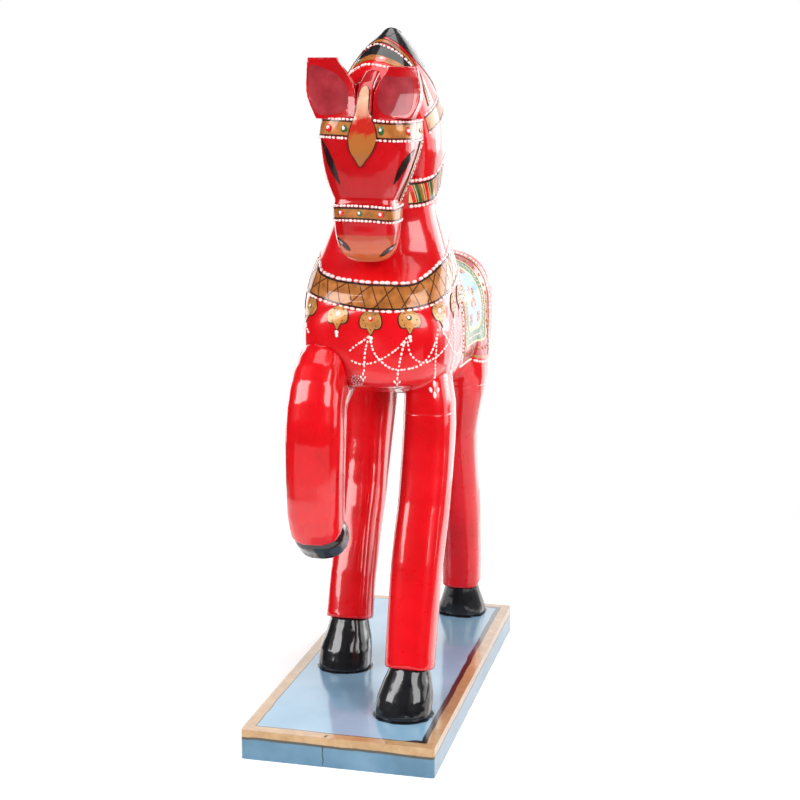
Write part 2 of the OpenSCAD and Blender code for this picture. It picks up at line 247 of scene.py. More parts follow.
def noise(place, scale, detail, roughness=0.55):
    n = add_node(place, "ShaderNodeTexNoise")
    n.inputs["Scale"].default_value = scale
    n.inputs["Detail"].default_value = detail
    n.inputs["Roughness"].default_value = roughness
    plug(place, n.inputs["Vector"])
    return n.outputs["Fac"]


def ramp(factor, stops):
    n = add_node(factor, "ShaderNodeValToRGB")
    elements = n.color_ramp.elements
    while len(elements) < len(stops):
        elements.new(0.5)
    for element, (position, colour) in zip(elements, stops):
        element.position = position
        element.color = (*colour, 1)
    plug(factor, n.inputs["Fac"])
    return n.outputs["Color"]


def place_of(beside):
    return add_node(beside, "ShaderNodeTexCoord").outputs["Object"]


def axes(place):
    n = add_node(place, "ShaderNodeSeparateXYZ")
    plug(place, n.inputs[0])
    return [n.outputs[k] for k in "XYZ"]


def bump(shader, height, strength):
    n = add_node(shader, "ShaderNodeBump")
    n.inputs["Strength"].default_value = strength
    n.inputs["Distance"].default_value = 0.3 * MM
    plug(height, n.inputs["Height"])
    plug(n.outputs["Normal"], shader.inputs["Normal"])


# Brush marks are three times as long as they are wide, and run up and down.
BRUSH = (1, 1, 0.33)


def lacquered(name, dark, mid, light, scale=45, roughness=0.28, metallic=0.0, ripple=0.16, ripple_scale=260):
    """Brushed paint under clear lacquer: cloudy colour, fine brush marks and a slightly rippled surface."""
    m, shader = material(name, mid, roughness, metallic, coat_roughness=0.09)
    place = place_of(shader)
    colour = ramp(noise(place, scale, 4), [(0.3, dark), (0.52, mid), (0.75, light)])
    plug(colour, shader.inputs["Base Color"])
    rough = spread(noise(place, scale * 6, 2), 0.0, 1.0, roughness * 0.8, roughness * 1.3)
    plug(rough, shader.inputs["Roughness"])
    stretch = add_node(shader, "ShaderNodeMapping")
    stretch.inputs["Scale"].default_value = BRUSH
    plug(place, stretch.inputs["Vector"])
    bump(shader, noise(stretch.outputs["Vector"], ripple_scale, 2), ripple)
    return m


# Heights on the muzzle: how far its tan runs, and its edge against the red.
TAN = (204.5 * MM, 216.5 * MM)
TAN_EDGE = (215.8 * MM, 216.3 * MM)


def head_paint():
    """Red lacquer, darker than the body's as painted shade on the head, that turns to tan on the muzzle,
    darker above and orange below.
    """
    m = lacquered("head_lacquer_shaded", (0.37, 0.0013, 0.004), (0.45, 0.0018, 0.005), (0.53, 0.004, 0.009))
    base = m.node_tree.nodes["Principled BSDF"].inputs["Base Color"]
    red = base.links[0].from_socket
    place = place_of(base)
    wander = maths("MULTIPLY_ADD", noise(place, 120, 2), 0.0016, -0.0008)
    height = maths("ADD", axes(place)[2], wander)
    tan = ramp(spread(height, *TAN), [
        (0.0, (0.55, 0.13, 0.04)), (0.45, (0.52, 0.09, 0.022)),
        (0.75, (0.46, 0.07, 0.03)), (1.0, (0.42, 0.05, 0.03))])
    plug(mixed(spread(height, *TAN_EDGE), tan, red), base)
    return m


# Widths on the board: the gold border on top, the dark line inside it, which is heavier on the left,
# and how far the gold and then the dark line under it come down the walls.
BORDER, HAIRLINE, HEAVIER = 4.6 * MM, 0.5 * MM, 1.9 * MM
GOLD_DROP, LINE_DROP = 3.3 * MM, 4.5 * MM


def board_paint():
    """Blue board with a gold border wrapped over its top edge, and dark lines along both its sides."""
    m, shader = material("base_paint", (0.23, 0.42, 0.6), 0.3, coat_roughness=0.10)
    place = place_of(shader)
    x, y, z = axes(place)
    half_x, half_y, top_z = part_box("base_board")[1]

    def step_up(value, edge, soft=0.12 * MM):
        """0 below `edge`, 1 above it."""
        return spread(value, edge - soft, edge + soft)

    def cloudy(scale, low, mid, high, detail=4, roughness=0.55):
        clouds = noise(place, scale, detail, roughness)
        return ramp(clouds, [(0.3, low), (0.5, mid), (0.72, high)])

    # Brushed lines wander by about a millimetre, with a finer unevenness on top.
    wander = maths("ADD",
        maths("MULTIPLY_ADD", noise(place, 28, 2), 0.0022, -0.0011),
        maths("MULTIPLY_ADD", noise(place, 130, 2), 0.0008, -0.0004))
    # How far a point on top is inside the board's outline, taken at its nearest edge.
    inside = maths("ADD", wander, maths("MINIMUM",
        maths("SUBTRACT", half_x, maths("ABSOLUTE", x)),
        maths("SUBTRACT", half_y, maths("ABSOLUTE", y))))
    on_left = step_up(x, 30 * MM, 2 * MM)
    line = maths("MULTIPLY_ADD", on_left, HEAVIER, HAIRLINE)
    line_end = maths("ADD", line, BORDER)

    blue = cloudy(24, (0.17, 0.33, 0.47), (0.21, 0.38, 0.53), (0.27, 0.44, 0.58))
    deep_blue = cloudy(40, (0.055, 0.14, 0.22), (0.08, 0.19, 0.29), (0.12, 0.24, 0.35))
    gold = cloudy(130, (0.34, 0.18, 0.07), (0.42, 0.25, 0.11), (0.52, 0.34, 0.18), 6, 0.75)
    top = mixed(step_up(inside, BORDER), gold, (0.014, 0.005, 0.005))
    top = mixed(step_up(maths("SUBTRACT", inside, line_end), 0.0), top, blue)
    height = maths("ADD", z, wander)
    walls = mixed(step_up(height, top_z - LINE_DROP), deep_blue, (0.05, 0.05, 0.035))
    walls = mixed(step_up(height, top_z - GOLD_DROP), walls, gold)
    colour = mixed(step_up(z, top_z - 0.4 * MM, 0.3 * MM), walls, top)
    plug(colour, shader.inputs["Base Color"])
    bump(shader, noise(place, 160, 2), 0.10)
    return m


# The heights of the leaf's tip and the end of its stem.
LEAF_REACH = (244.5 * MM, 277.0 * MM)


def leaf_paint():
    """Gold that turns red across the upper part of the leaf and pale on its stem."""
    m, shader = material("leaf_gold", (0.5, 0.24, 0.05), 0.34, 0.25, 0.8)
    place = place_of(shader)
    wander = maths("MULTIPLY_ADD", noise(place, 350, 3), 0.26, -0.13)
    height = maths("ADD", spread(axes(place)[2], *LEAF_REACH), wander)
    colour = ramp(height, [
        (0.0, (0.40, 0.14, 0.06)), (0.20, (0.44, 0.15, 0.030)), (0.37, (0.48, 0.14, 0.03)),
        (0.43, (0.55, 0.025, 0.012)), (0.56, (0.55, 0.018, 0.012)),
        (0.64, (0.66, 0.26, 0.17)), (0.85, (0.70, 0.40, 0.26))])
    plug(colour, shader.inputs["Base Color"])
    bump(shader, noise(place, 700, 2), 0.15)
    return m


def paint(name, colour, roughness, metallic=0.0, shade=0.22, scale=220, coat=0.7):
    """Hand-mixed paint: the colour wanders lighter and darker, and the brush leaves fine ridges."""
    m, shader = material(name, colour, roughness, metallic, coat)
    place = place_of(shader)
    dark = tuple(c * (1 - shade) for c in colour)
    light = tuple(min(1, c * (1 + shade) + 0.01) for c in colour)
    cloudy = ramp(noise(place, scale, 4), [(0.32, dark), (0.5, colour), (0.7, light)])
    plug(cloudy, shader.inputs["Base Color"])
    bump(shader, noise(place, scale * 4, 2), 0.15)
    return m


RED = lacquered("red_lacquer", (0.50, 0.0015, 0.004), (0.61, 0.002, 0.006), (0.68, 0.004, 0.010))
# The head's red is a darker copy of the body's red: painted shade.
HEAD_RED_SHADED = head_paint()
# The ears' red is a darker copy of the body's red: painted shade.
EAR_RED_SHADED = lacquered("ear_lacquer_shaded", (0.36, 0.0013, 0.004), (0.46, 0.002, 0.005), (0.55, 0.004, 0.009))
BLACK = lacquered("black_lacquer", (0.004, 0.004, 0.005), (0.010, 0.010, 0.012), (0.022, 0.022, 0.024),
    ripple=0.55, ripple_scale=420)
WOOD = lacquered("bare_wood", (0.36, 0.22, 0.11), (0.52, 0.34, 0.18), (0.62, 0.44, 0.26), 90, 0.6)
STEEL = lacquered("screw_steel", (0.35, 0.35, 0.36), (0.5, 0.5, 0.52), (0.6, 0.6, 0.62), 200, 0.35, 1.0)
BLUE = board_paint()

# Each painted piece: its finish in the record, and its paint. The numbers after a paint's colour are its
# roughness, how metallic it is, how much its shade varies, how fine its grain is, and its clear coat.
PAINTS = {
    "painted_gold": ("gold_paint", paint("gold_ochre", (0.37, 0.125, 0.026), 0.34, 0.08, 0.35)),
    "pendant_gold": ("gold_paint", paint("bright_gold", (0.44, 0.19, 0.05), 0.34, 0.08, 0.4)),
    "painted_cream": ("gold_paint", paint("cream_gold", (0.70, 0.48, 0.21), 0.36, 0.1, 0.2)),
    "painted_lines": ("line_paint", paint("line_black", (0.02, 0.010, 0.008), 0.35)),
    "painted_hatch": ("line_paint", paint("line_brown", (0.075, 0.022, 0.006), 0.38)),
    "painted_eyes": ("line_paint", paint("eye_black", (0.022, 0.008, 0.008), 0.2)),
    "painted_pearls": ("pearl_paint", paint("pearl_white", (0.90, 0.68, 0.66), 0.3, 0, 0.12, 400)),
    "painted_ruby": ("line_paint", paint("ruby_red", (0.62, 0.012, 0.010), 0.2, 0, 0.3, 500)),
    "painted_green": ("line_paint", paint("leaf_green", (0.025, 0.10, 0.028), 0.25, 0, 0.4, 400)),
    "painted_pink": ("pearl_paint", paint("gem_pink", (0.80, 0.30, 0.26), 0.28, 0, 0.2, 400)),
    "forehead_leaf": ("gold_paint", leaf_paint()),
    # Silver paint for the chest flower, also used for the painted highlights on the nostrils.
    "silver_dots_and_highlights": ("pearl_paint", paint("silver_grey_and_highlight", (0.42, 0.36, 0.38), 0.3, 0.4, 0.4, 900)),
    # Darker red laid in the ear hollows: painted shade.
    "ear_hollow_shade": ("red_lacquer", paint("ear_shade_red", (0.28, 0.016, 0.024), 0.42, 0, 0.25, 150, 0.5)),
    "crack_shadow": ("line_paint", paint("crack_dark", (0.03, 0.025, 0.022), 0.6, 0, 0.3, 300, 0.0)),
    "hoof_smears": ("line_paint", paint("smear_black", (0.02, 0.022, 0.026), 0.4, 0, 0.4, 300)),
    "black_hair": ("black_lacquer", paint("hair_black", (0.012, 0.011, 0.013), 0.25, 0, 0.4, 120, 1.0)),
    "mane_strands": ("black_lacquer", paint("hair_grey", (0.10, 0.09, 0.10), 0.3, 0.1, 0.4, 300)),
    "saddle_red": ("line_paint", paint("saddle_maroon", (0.42, 0.012, 0.018), 0.3, 0, 0.3, 90)),
    "saddle_green": ("line_paint", paint("saddle_leaf", (0.045, 0.20, 0.085), 0.3, 0, 0.3, 90)),
    "saddle_blue": ("base_paint", paint("saddle_sky", (0.30, 0.48, 0.62), 0.3, 0, 0.22, 90)),
}

# ---- carved pieces ----

CAD = {name: obj.data for name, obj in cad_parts.items()}
VOXEL = 0.9
# Planes that cut the trunk: a point, and the direction up through it.
NECK_LEAN = math.radians(14.5)
NECK_SEAM = ((0, 0, 198), (0, -math.sin(NECK_LEAN), math.cos(NECK_LEAN)))
LEG_SEAM = ((0, 0, 138), UP)
RUMP_FROM, RUMP_ABOVE = 76, 156
FORE_LEG_TO = 20  # no fore leg's middle is further back than this
LEG_POINTS = 200  # smaller shells aren't legs


def smooth_skin(mesh, rounds, uneven, size, seed):
    co = relax(coords(mesh), edges_of(mesh), rounds)
    set_coords(mesh, co)
    set_coords(mesh, co + normals(mesh) * (uneven * waves(co, size, seed))[:, None])
    return mesh


def add_skin(node, mesh, look):
    """Shows a carved surface in place of its CAD node."""
    skin = add_piece(node + "_skin", mesh, look)
    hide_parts(node)


def rump_cap():
    """Fills the flat seat of the tail back out to the roundness of the rump."""
    bm = bmesh.new()
    for x, y, z in coords(CAD["body"]):
        if y > RUMP_FROM and z > RUMP_ABOVE:
            bm.verts.new((x * MM, y * MM, z * MM))
    hull = bmesh.ops.convex_hull(bm, input=bm.verts)
    bmesh.ops.delete(bm, geom=hull["geom_interior"], context="VERTS")
    mesh = bpy.data.meshes.new("rump_cap")
    bm.to_mesh(mesh)
    bm.free()
    return mesh


def leg_at(x, y):
    """The standing leg whose middle is here."""
    if x < 0:
        return "leg_rear_right"
    return "leg_front_left" if y < FORE_LEG_TO else "leg_rear_left"


# Body, neck and standing legs are smoothed as one, so that they run into each other, and then cut apart.
TRUNK_NODES = ("body", "neck", "leg_front_left", "leg_rear_left", "leg_rear_right",
    "neck_dowels", "leg_dowels", "tail_peg")
trunk = remeshed(joined([CAD[name] for name in TRUNK_NODES] + [rump_cap()]), VOXEL)
smooth_skin(trunk, 60, 0.16, 26, 3)
below_neck = cut(trunk, *NECK_SEAM, keep_above=False)
add_skin("body", cut(below_neck, *LEG_SEAM, keep_above=True), RED)
add_skin("neck", cut(trunk, *NECK_SEAM, keep_above=True), RED)
for shell in islands(cut(below_neck, *LEG_SEAM, keep_above=False)):
    if len(shell.vertices) >= LEG_POINTS:
        x, y, _ = coords(shell).mean(axis=0)
        add_skin(leg_at(x, y), shell, RED)

# Pieces carved on their own: node, paint, slot, rounds of smoothing, voxel, unevenness and its length.
CARVED = [
    ("head", HEAD_RED_SHADED, "red_lacquer", 22, 0.7, 0.1, 26),
    ("ear_left", EAR_RED_SHADED, "red_lacquer", 3, 0.4, 0.1, 26),
    ("ear_right", EAR_RED_SHADED, "red_lacquer", 3, 0.4, 0.1, 26),
    ("leg_front_right", RED, "red_lacquer", 40, 0.8, 0.1, 26),
    ("tail", BLACK, "black_lacquer", 8, 0.6, 0.1, 26)]
for corner in ("front_left", "front_right", "rear_left", "rear_right"):
    CARVED.append(("hoof_" + corner, BLACK, "black_lacquer", 14, 0.6, 0.12, 8))
for node, look, slot, rounds, voxel, uneven, size in CARVED:
    seed = len(node) * 7 + ord(node[-1])
    add_skin(node, smooth_skin(remeshed(joined([CAD[node]]), voxel), rounds, uneven, size, seed), look)

# The pieces that keep their CAD shape.
PLAIN = {"base_board": BLUE, "base_screws": STEEL}
for node in ("neck_dowels", "head_dowel", "leg_dowels", "ear_pegs", "tail_peg", "raised_hoof_peg"):
    PLAIN[node] = WOOD
for node, look in PLAIN.items():
    CAD[node].materials.clear()
    CAD[node].materials.append(look)


# ---- laying paint on the carved surfaces ----

class Skin:
    """A carved surface in millimetres, for laying paint on."""

    def __init__(self, mesh):
        corners = [tuple(p) for p in coords(mesh)]
        self.tree = BVHTree.FromPolygons(corners, [tuple(p.vertices) for p in mesh.polygons])

    def near(self, p):
        place, normal, _, _ = self.tree.find_nearest(Vector(p))
        return place, normal

    def cast(self, start, target):
        start, target = Vector(start), Vector(target)
        return self.tree.ray_cast(start, (target - start).normalized())[0] or target


FAR = 150
BARREL_Z = 168
TRUNK = Skin(trunk)
HEAD = Skin(bpy.data.objects["head_skin"].data)
NECK = Skin(bpy.data.objects["neck_skin"].data)
TAIL = Skin(bpy.data.objects["tail_skin"].data)
BOARD = Skin(CAD["base_board"])


def front(skin, points):
    """Places seen straight from the front, given as (across, height)."""
    return [skin.cast((x, -FAR, z), (x, 0, z)) for x, z in points]


def flank(points, hand):
    """Places on a side of the head, given as (along, height); hand is 1 on the left and -1 on the right."""
    return [HEAD.cast((hand * FAR, y, z), (0, y, z)) for y, z in points]


def around(points):
    """Places round the neck and chest, given as (angle, height); 0 is the front and 90 the horse's left."""
    out = []
    for angle, z in points:
        a = math.radians(angle)
        out.append(TRUNK.cast((FAR * math.sin(a), -FAR * math.cos(a), z), (0, 0, z)))
    return out


def over(points):
    """Places over the barrel, given as (along, angle); 0 is the top of the back and 90 the left flank."""
    out = []
    for y, angle in points:
        a = math.radians(angle)
        out.append(TRUNK.cast((FAR * math.sin(a), y, BARREL_Z + FAR * math.cos(a)), (0, y, BARREL_Z)))
    return out


def curve(points, step, closed=False, count=None):
    """A smooth line through the points, sampled about `step` mm apart or `count` times."""
    p = np.array([tuple(q) for q in points], float)
    ends = (p[-1:], p[:2]) if closed else (2 * p[:1] - p[1:2], 2 * p[-1:] - p[-2:-1])
    p = np.concatenate([ends[0], p, ends[1]])
    t = np.linspace(0, 1, 12, endpoint=False)[:, None]
    fine = []
    for a, b, c, d in zip(p[:-3], p[1:-2], p[2:-1], p[3:]):
        bend, twist = 2 * a - 5 * b + 4 * c - d, 3 * b - a - 3 * c + d
        fine.append(0.5 * (2 * b + (c - a) * t + bend * t ** 2 + twist * t ** 3))
    fine = np.concatenate(fine + [p[-2:-1]])
    run = np.concatenate([[0], np.cumsum(np.linalg.norm(np.diff(fine, axis=0), axis=1))])
    at = np.linspace(0, run[-1], count or max(3, int(round(run[-1] / step)) + 1))
    return np.stack([np.interp(at, run, fine[:, k]) for k in range(fine.shape[1])], axis=1)


PAINT = {}


def lay(piece, points, faces, outward=None, at=0):
    """Adds a shape to a painted piece, its faces turned so that face number `at` looks along `outward`."""
    if outward is not None:
        a, b, c = (Vector(points[i]) for i in faces[at][:3])
        if (b - a).cross(c - a).dot(outward) < 0:
            faces = [f[::-1] for f in faces]
    own_points, own_faces = PAINT.setdefault(piece, ([], []))
    start = len(own_points)
    own_points += [tuple(p) for p in points]
    own_faces += [[start + i for i in f] for f in faces]


# How far the rim of each painted shape goes down into the wood.
SINK = 0.25


def coat(piece, skin, rails, lift, across, closed=False):
    """Paint between two or more lines on a skin, standing `lift` proud, with its rim sunk into the wood."""
    columns = []
    for a, b in zip(rails[:-1], rails[1:]):
        columns += [a + (b - a) * k / across for k in range(across)]
    columns.append(rails[-1])
    columns = [columns[0]] + columns + [columns[-1]]
    rows = list(range(len(rails[0])))
    if not closed:
        rows = [rows[0]] + rows + [rows[-1]]
    w, n = len(columns), len(rows)
    points = []
    for i, r in enumerate(rows):
        end_row = not closed and i in (0, n - 1)
        for j, column in enumerate(columns):
            place, normal = skin.near(column[r])
            rim = end_row or j in (0, w - 1)
            points.append(place + normal * (-SINK if rim else lift))
            if (i, j) == (n // 2, w // 2):
                outward = normal
    faces = []
    for i in range(n if closed else n - 1):
        for j in range(w - 1):
            a, b = i * w + j, ((i + 1) % n) * w + j
            faces.append([a, a + 1, b + 1, b])
    lay(piece, points, faces, outward, (n // 2 - 1) * (w - 1) + w // 2 - 1)


def ribbon(skin, points, step, closed=False):
    """The middle of a line on a skin, and the direction across it at each place."""
    line = curve(points, step, closed)
    if closed:
        line = line[:-1]
    spots = [skin.near(p) for p in line]
    centre = np.array([tuple(place) for place, _ in spots])
    normal = np.array([tuple(out) for _, out in spots])
    if closed:
        tangent = np.roll(centre, -1, 0) - np.roll(centre, 1, 0)
    else:
        tangent = np.gradient(centre, axis=0)
    side = np.cross(tangent, normal)
    return centre, side / np.maximum(np.linalg.norm(side, axis=1), 1e-9)[:, None]


def stroke(piece, skin, points, width, lift, closed=False, step=0.8, across=2):
    """A brushed line. A list of widths is spread along it."""
    centre, side = ribbon(skin, points, step, closed)
    widths = np.atleast_1d(np.asarray(width, float))
    half = np.interp(np.linspace(0, 1, len(centre)), np.linspace(0, 1, len(widths)), widths)[:, None] / 2
    coat(piece, skin, [centre + side * half, centre - side * half], lift, across, closed)


def dome(piece, place, along, normal, length, width, height, sides=8):
    """A blob of thick paint, or a painted stone."""
    along = (along - normal * along.dot(normal)).normalized()
    across = normal.cross(along)
    points = []
    for r, h in ((1.0, -SINK), (0.97, height * 0.4), (0.68, height * 0.87)):
        for k in range(sides):
            a = 2 * math.pi * k / sides
            ahead = along * (r * length / 2 * math.cos(a))
            points.append(place + ahead + across * (r * width / 2 * math.sin(a)) + normal * h)
    points.append(place + normal * height)
    faces = []
    for ring in range(2):
        for k in range(sides):
            a, b = ring * sides + k, ring * sides + (k + 1) % sides
            faces.append([a, b, b + sides, a + sides])
    faces += [[2 * sides + k, 2 * sides + (k + 1) % sides, 3 * sides] for k in range(sides)]
    lay(piece, points, faces)


BEAD_STEP = 0.25
LOOSE = 0.16  # how much of the spacing a dot can be off its even place


def beads(skin, points, spacing, size, height, closed=False, stretch=1.25, piece="painted_pearls"):
    """A row of painted dots, each a little different."""
    line = curve(points, BEAD_STEP, closed)
    n = max(1, int(round(len(line) * BEAD_STEP / spacing)))
    for k in range(n):
        i = int((k + 0.5) / n * (len(line) - 1) + RNG.uniform(-LOOSE, LOOSE) * spacing / BEAD_STEP)
        i = min(max(i, 1), len(line) - 2)
        place, normal = skin.near(line[i])
        along = Vector(line[i + 1] - line[i - 1])
        grow = RNG.uniform(0.85, 1.15)
        long = size * grow * stretch * RNG.uniform(0.85, 1.2)
        dome(piece, place, along, normal, long, size * grow, height)


def plate(piece, skin, spot, outline, lift, rings=4, step=0.7):
    """A painted shape. `spot` turns a point of the outline into a place on the skin."""
    rim = curve([(x, y, 0) for x, y in outline], step, True)[:-1, :2]
    middle = rim.mean(axis=0)
    place, outward = skin.near(spot(*middle))
    points = [place + outward * lift]
    for k in range(1, rings + 2):
        f = min(k, rings) / rings
        for x, y in middle + (rim - middle) * f:
            place, normal = skin.near(spot(x, y))
            points.append(place + normal * (lift if k <= rings else -SINK))
    n = len(rim)
    faces = [[0, 1 + (k + 1) % n, 1 + k] for k in range(n)]
    for ring in range(rings):
        for k in range(n):
            a, b = 1 + ring * n + k, 1 + ring * n + (k + 1) % n
            faces.append([a, b, b + n, a + n])
    lay(piece, points, faces, outward)


def tangent_spot(skin, centre, up=UP):
    """A way of placing flat shapes round a point of the skin, upright as seen from outside."""
    place, normal = skin.near(centre)
    up = Vector(up)
    up = (up - normal * up.dot(normal)).normalized()
    right = up.cross(normal)
    return lambda x, y: place + right * x + up * y


def stone(skin, centre, colour, size, ring="lines", up=UP, tall=1.0):
    """A painted jewel: a dark ring, a coloured dome and a white glint."""
    place, normal = skin.near(centre)
    up = Vector(up)
    dome("painted_" + ring, place, up, normal, size * tall + 0.6, size + 0.6, 0.36, 12)
    dome("painted_" + colour, place, up, normal, size * tall, size, 0.62, 12)
    glint, normal = skin.near(tangent_spot(skin, centre, up)(-size * 0.10, size * 0.08))
    dome("painted_pearls", glint + normal * 0.35, up, normal, size * 0.56, size * 0.5, 0.42)


GOLD_LIFT, LINE_LIFT, PEARL_HEIGHT = 0.28, 0.40, 0.62


def band(skin, points, half, gold="painted_gold", spacing=1.75, size=1.15, edge=0.5):
    """A gold strap with a dark line and a row of pearls along each edge."""
    centre, side = ribbon(skin, points, 0.9)
    side = side * np.sign(side @ np.array(UP, float))[:, None]
    coat(gold, skin, [centre + side * half, centre - side * half], GOLD_LIFT, 5)
    for s in (-1, 1):
        rails = [centre + side * s * (half + edge * reach) for reach in (-0.3, 0.7)]
        coat("painted_lines", skin, rails, LINE_LIFT, 1)
        row = centre + side * s * (half + edge + size * 0.5)
        beads(skin, row[::2], spacing, size, PEARL_HEIGHT)


# ---- the head ----

# Browband: two runs of gold between dark lines and pearls, broken by the leaf on the forehead.
BROW_FRONTS = {
    1: [(4.2, 259.5), (6.7, 259.2), (12.4, 258.9), (16.6, 258.9)],
    -1: [(-4.2, 259.9), (-7.4, 260.1), (-14, 260.4), (-16.8, 260.5)]}
BROW_SIDE = [(-41, 0), (-35, 0.1), (-28, 0.3), (-22.5, 0.8)]
BROW_HALF = 2.85
for hand, run in BROW_FRONTS.items():
    side_z = run[-1][1]
    side_run = flank([(y, side_z + z) for y, z in BROW_SIDE], hand)
    band(HEAD, front(HEAD, run) + side_run, BROW_HALF)
for x, z, colour, size, tall in (
        (-14.6, 260.3, "ruby", 3.1, 1.1), (-7.6, 260, "green", 3.1, 1.1),
        (8, 259.2, "green", 2.6, 1.6), (18.2, 258.9, "ruby", 3.1, 1.1)):
    stone(HEAD, front(HEAD, [(x, z)])[0], colour, size, tall=tall)
for hand, z in ((-1, 260.8), (1, 259.2)):
    stone(HEAD, flank([(-29, z)], hand)[0], "green", 2.3)

# Noseband.
nose = flank([(-25, 225.6), (-31, 225.5), (-37, 225.4)], -1)
nose += front(HEAD, [(-12.6, 225.3), (-8, 225.4), (-1.5, 225.3), (4.9, 225), (9.6, 224.5)])
nose += flank([(-37, 224.5), (-31, 224.8), (-25, 225.2)], 1)
band(HEAD, nose, 2.0, spacing=1.7)
for x, z, colour in ((-9.8, 225.4, "ruby"), (-1.6, 225.3, "green"), (7.2, 224.8, "ruby")):
    stone(HEAD, front(HEAD, [(x, z)])[0], colour, 2.7)

# Leaf on the forehead, with its stem running up between the ears.
LEAF = [
    (0.3, 277), (1.8, 275.4), (2.3, 272), (2.5, 267.6), (3.2, 264.6), (4.9, 261.6), (5.9, 258),
    (5.8, 254.8), (4.0, 250.6), (1.4, 247.2), (-0.9, 244.6), (-3.0, 247.6), (-5.0, 250.8),
    (-5.8, 255), (-5.4, 258.4), (-4.4, 261.8), (-3.0, 264.8), (-2.3, 267.8), (-1.9, 272), (-1.4, 275.4)]
plate("forehead_leaf", HEAD, lambda x, z: front(HEAD, [(x, z)])[0], LEAF, 0.62, 6)
stroke("painted_lines", HEAD, front(HEAD, LEAF), 0.75, 0.5, True)

# Painted shade: darker red patches in the hollows on the front faces of the ears.
EAR_SHADE_PATCHES = {
    "ear_right": [
        (-23.4, 285), (-17.6, 284.6), (-11.6, 281.6), (-7.8, 276.4), (-7.4, 270.6),
        (-9.4, 266.8), (-14.4, 265.6), (-19.6, 266.2), (-22.6, 272)],
    "ear_left": [
        (7.6, 280.6), (13.6, 280.8), (20, 280), (20.8, 272),
        (19.2, 266.4), (13.4, 265.4), (8, 266.2), (5.4, 271)]}
for ear, outline in EAR_SHADE_PATCHES.items():
    ear_skin = Skin(bpy.data.objects[ear + "_skin"].data)
    plate("ear_hollow_shade", ear_skin, lambda x, z: front(ear_skin, [(x, z)])[0], outline, 0.09, 5)

# Eyes and nostrils, each nostril with a painted highlight.
RIGHT_EYE = front(HEAD, [(-18.3, 256), (-16.4, 252), (-14.3, 247), (-12.2, 242), (-10.1, 237.4)])
LEFT_EYE = [
    (19.4, -35, 251.2), (18.6, -38.5, 249.2), (17.5, -41.5, 246.6), (15.6, -43.2, 242.8), (12.7, -44, 237.6)]
for line, widths in ((RIGHT_EYE, [0.5, 2.4, 3.2, 2.4, 0.4]), (LEFT_EYE, [0.5, 3.0, 4.2, 3.0, 0.4])):
    stroke("painted_eyes", HEAD, line, widths, 0.2, step=0.6, across=4)
NOSTRILS = (
    [(-12.4, -41.4, 214.8), (-9.6, -42.7, 212.4), (-6.8, -42.4, 209.6)],
    [(11.2, -36, 212.2), (9.2, -39.6, 210), (5.8, -40.4, 207.2)])
for line in NOSTRILS:
    stroke("painted_eyes", HEAD, line, [0.6, 2.0, 2.5, 2.3, 0.9], 0.2, step=0.5, across=4)
    # A pale grey stroke along the middle of each nostril: a painted highlight.
    highlight_start = Vector(line[0]).lerp(Vector(line[1]), 0.3)
    stroke("silver_dots_and_highlights", HEAD, [highlight_start, line[1]], [0.3, 1.0, 0.5], 0.32, step=0.5)

# Cheek straps, from the browband down to the noseband.
CHEEK = [(-24.5, 255), (-28, 250.6), (-31, 245.6), (-32, 240.6), (-31.2, 235.3), (-30.8, 229.8)]


def cheek(hand, shift=0.0):
    return flank([(y + shift, z) for y, z in CHEEK], hand)


for hand in (-1, 1):
    stroke("painted_cream", HEAD, cheek(hand), 2.5, GOLD_LIFT, across=3)
    for shift in (-1.4, 1.4):
        stroke("painted_lines", HEAD, cheek(hand, shift), 0.4, LINE_LIFT)
    beads(HEAD, cheek(hand, 2.4), 1.7, 1.0, PEARL_HEIGHT)

# ---- bands round the neck ----


def both_sides(half_run):
    """Carries a run of (angle, height) on the left on round the back to the right."""
    return half_run + [(360 - a, z) for a, z in reversed(half_run[:-1])]


# Headstall strap from the browband back round the neck.
STRAP = both_sides([
    (47, 261.6), (64, 265.4), (78, 267.8), (92, 269.8), (120, 273), (150, 275.2), (180, 276)])
band(TRUNK, around(STRAP), 2.9)

# Throat band: gold crossed by slanting coloured strips.
THROAT = both_sides([
    (36, 232.3), (54, 232.8), (69, 234), (80, 235.6), (90, 238),
    (105, 242), (120, 245.4), (150, 249.6), (180, 251)])
STRIPS = (("ruby", 1.7), ("lines", 0.5), ("green", 1.5), ("gold", 1.4), ("lines", 0.4))
STRIP_REACH = 3.9
band(TRUNK, around(THROAT), 4.3, "painted_cream", 2.1, 1.5, 0.7)
places = curve([(a, z, 0) for a, z in THROAT], 1, count=74)[1:-1]
for k, (a, z, _) in enumerate(places):
    lean = 8 if a < 180 else -8
    colour, width = STRIPS[k % len(STRIPS)]
    strip = [(a - lean * 0.7, z + STRIP_REACH), (a, z), (a + lean * 0.5, z - STRIP_REACH)]
    stroke("painted_" + colour, TRUNK, around(strip), width, 0.36)

# Main collar: gold crossed by dark lines.
COLLAR_TOP = [
    (0, 194), (19, 193.9), (29, 194.2), (37, 195.7), (47, 198.4), (58, 201.2), (74, 203.8),
    (90, 206), (120, 209.5), (150, 212), (180, 213), (210, 212), (240, 209.5), (270, 206),
    (286, 204), (302, 201.6), (315, 197.6), (332, 195.3), (349, 194.4)]
COLLAR_BOTTOM = [
    (0, 184.7), (14, 184.6), (22, 184.8), (32, 185.7), (44, 187.5), (58, 190.6), (74, 193.2),
    (90, 195.4), (120, 199.4), (150, 202.4), (180, 203.6), (210, 202.4), (240, 199.4), (270, 196),
    (286, 194), (302, 191.6), (315, 189.7), (329, 187.9), (345, 185.8)]
ROUND = 190
top = curve(around(COLLAR_TOP), 1, True, ROUND + 1)[:-1]
bottom = curve(around(COLLAR_BOTTOM), 1, True, ROUND + 1)[:-1]
coat("painted_gold", TRUNK, [top, bottom], GOLD_LIFT, 8, True)
